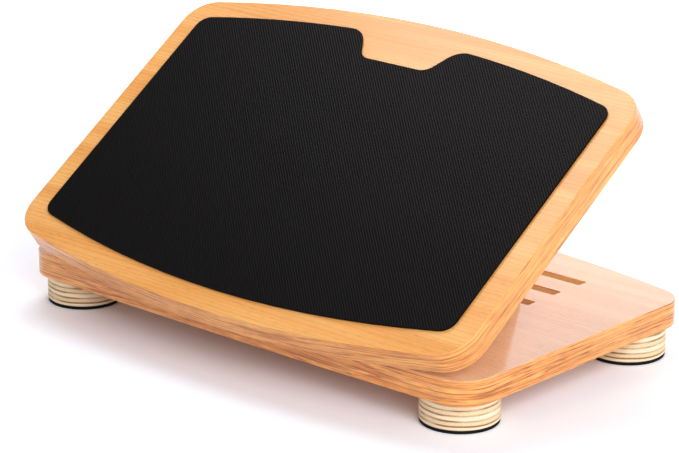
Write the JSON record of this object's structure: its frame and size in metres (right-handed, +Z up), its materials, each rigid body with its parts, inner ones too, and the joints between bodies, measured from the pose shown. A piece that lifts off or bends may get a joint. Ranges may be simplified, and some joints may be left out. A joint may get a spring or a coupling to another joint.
{
  "type": "tilting footrest",
  "caption": "Wooden under-desk footrest: a rubber-topped board hinged to a base on round feet and held up by a prop in a slot.",
  "frame": {"origin": "on the floor under the middle of the whole footrest, with the prop in the front slot", "axes": "+X to the user's right across the boards, +Y to the back, where the board is raised, +Z up"},
  "size_m": [0.45, 0.3052, 0.2191],
  "materials": {
    "beech_board": "satin lacquer",
    "beech_prop": "satin lacquer",
    "birch_ply": "bare plywood with its layers showing",
    "ribbed_rubber": "matt, finely ribbed",
    "pad_rubber": "matt",
    "hinge_steel": "zinc plated",
    "screw_steel": "zinc plated"
  },
  "bodies": {
    "base": {"base_board": "beech_board", "foot_front_left": "birch_ply", "foot_front_right": "birch_ply", "foot_rear_left": "birch_ply", "foot_rear_right": "birch_ply", "pad_front_left": "pad_rubber", "pad_front_right": "pad_rubber", "pad_rear_left": "pad_rubber", "pad_rear_right": "pad_rubber", "foot_screw_1": "screw_steel", "foot_screw_2": "screw_steel", "foot_screw_3": "screw_steel", "foot_screw_4": "screw_steel", "base_hinge_leaf_left": "hinge_steel", "base_hinge_leaf_right": "hinge_steel", "base_hinge_pin_left": "screw_steel", "base_hinge_pin_right": "screw_steel", "base_hinge_screw_1": "screw_steel", "base_hinge_screw_2": "screw_steel", "base_hinge_screw_3": "screw_steel", "base_hinge_screw_4": "screw_steel", "base_hinge_screw_5": "screw_steel", "base_hinge_screw_6": "screw_steel"},
    "board": {"tilt_board": "beech_board", "grip_mat": "ribbed_rubber", "board_hinge_leaf_left": "hinge_steel", "board_hinge_leaf_right": "hinge_steel", "board_hinge_screw_1": "screw_steel", "board_hinge_screw_2": "screw_steel", "board_hinge_screw_3": "screw_steel", "board_hinge_screw_4": "screw_steel", "board_hinge_screw_5": "screw_steel", "board_hinge_screw_6": "screw_steel", "prop_hinge_board_leaf_left": "hinge_steel", "prop_hinge_board_leaf_right": "hinge_steel", "prop_hinge_pin_left": "screw_steel", "prop_hinge_pin_right": "screw_steel", "prop_hinge_board_screw_1": "screw_steel", "prop_hinge_board_screw_2": "screw_steel", "prop_hinge_board_screw_3": "screw_steel", "prop_hinge_board_screw_4": "screw_steel"},
    "prop": {"prop_panel": "beech_prop", "prop_leaf_left": "hinge_steel", "prop_leaf_right": "hinge_steel", "prop_screw_1": "screw_steel", "prop_screw_2": "screw_steel", "prop_screw_3": "screw_steel", "prop_screw_4": "screw_steel"}
  },
  "joints": [
    {"name": "board_tilt", "type": "hinge", "parent": "base", "child": "board", "pos_m": [0, -0.12116, 0.0456], "axis": [1, 0, 0], "range_deg": [0, 38]},
    {"name": "prop_swing", "type": "hinge", "parent": "board", "child": "prop", "pos_m": [0, 0.01079, 0.1368], "axis": [1, 0, 0], "range_deg": [0, 102]}
  ]
}
